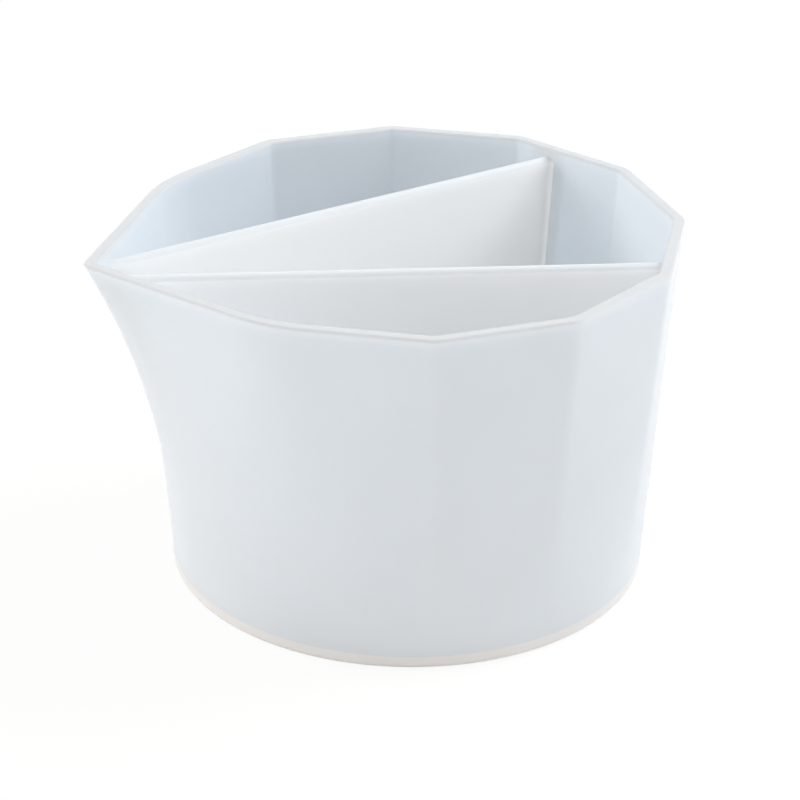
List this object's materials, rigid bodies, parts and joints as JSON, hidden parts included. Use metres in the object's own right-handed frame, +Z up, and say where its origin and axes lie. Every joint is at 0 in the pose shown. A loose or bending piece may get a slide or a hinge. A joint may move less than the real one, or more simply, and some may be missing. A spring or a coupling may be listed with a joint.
{
  "type": "resin mixing cup",
  "caption": "Free-standing silicone cup for mixing and pouring resin, with a polygonal rim, a pointed flared spout and dividers that fan out from the spout to part it into chambers.",
  "frame": {"origin": "centre of the round floor's flat underside, on the axis that the rim's regular corners are set round", "axes": "+Z up, out of the open rim; the spout points along -X; +Y is the side of the rear divider and the rear chamber"},
  "size_m": [0.1085, 0.0966, 0.0666],
  "materials": {
    "silicone": "translucent white moulded silicone, satin, with a slight frosting"
  },
  "bodies": {
    "root": {"cup_wall": "silicone", "cup_floor": "silicone", "rear_divider": "silicone", "front_divider": "silicone"}
  },
  "joints": []
}
